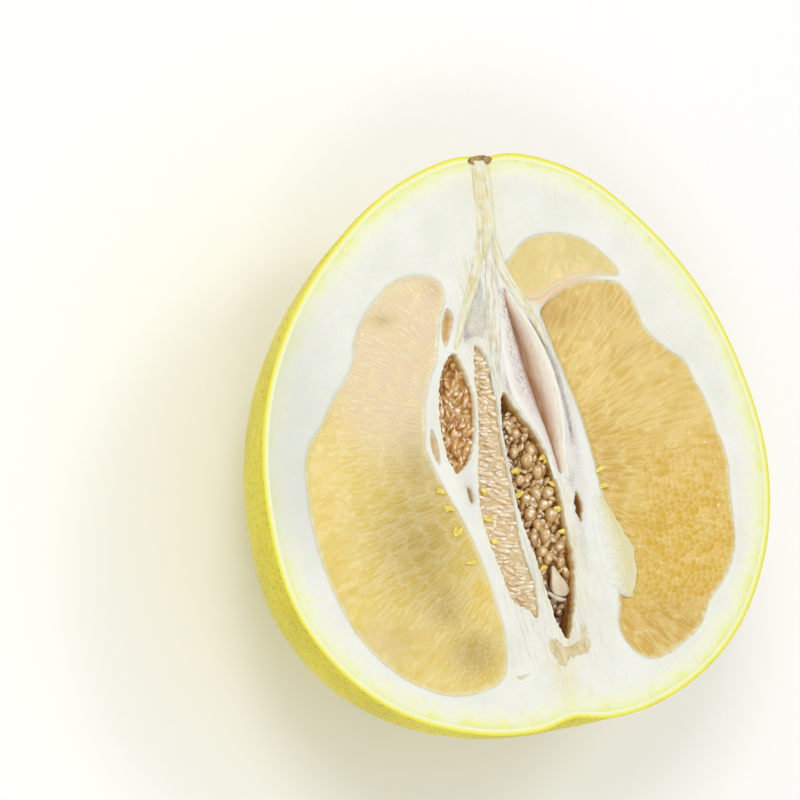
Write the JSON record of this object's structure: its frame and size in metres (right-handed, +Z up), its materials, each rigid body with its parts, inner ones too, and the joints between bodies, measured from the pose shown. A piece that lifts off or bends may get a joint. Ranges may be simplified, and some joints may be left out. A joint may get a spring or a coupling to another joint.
{
  "type": "halved pomelo",
  "caption": "Pomelo half cut lengthwise through the core, lying on its rind with the cut face, pulp and open core upwards.",
  "frame": {"origin": "on the surface that the half rests on, under the middle of the cut face's outline", "axes": "+Z up, square to the cut face; +Y along the core to the stem end; +X across the cut face, to the right as it is looked down on with the stem end at the top"},
  "size_m": [0.1621, 0.1693, 0.0799],
  "materials": {
    "rind": "fine oily pores, soft sheen",
    "pith": "matte, spongy, faint fibres",
    "pulp_pale": "moist, translucent",
    "pulp_gold": "moist, translucent",
    "pulp_amber": "wet, translucent",
    "membrane": "thin, papery, soft",
    "fibre": "stringy, matte",
    "stem": "dry, rough",
    "seed": "smooth, waxy"
  },
  "bodies": {
    "root": {"rind": "rind", "pith": "pith", "pulp_left": "pulp_pale", "pulp_right": "pulp_gold", "pulp_upper_right": "pulp_pale", "pulp_sliver_upper": "pulp_amber", "pulp_sliver_lower": "pulp_amber", "pulp_pocket_left": "pulp_amber", "pulp_pocket_middle": "pulp_pale", "pulp_pocket_right": "pulp_amber", "core_strand": "fibre", "fibre_patch": "fibre", "membrane_fold_left": "membrane", "membrane_fold_right": "membrane", "membrane_flap": "membrane", "stem_button": "stem", "seed_flat": "seed", "seed_small_01": "seed", "seed_small_02": "seed", "seed_small_03": "seed", "seed_small_04": "seed", "seed_small_05": "seed", "seed_small_06": "seed", "seed_small_07": "seed", "seed_small_08": "seed", "seed_small_09": "seed", "seed_small_10": "seed", "seed_small_11": "seed", "seed_small_12": "seed", "seed_small_13": "seed", "seed_small_14": "seed", "seed_small_15": "seed", "seed_small_16": "seed", "seed_small_17": "seed", "seed_small_18": "seed", "seed_small_19": "seed", "seed_small_20": "seed"}
  },
  "joints": []
}
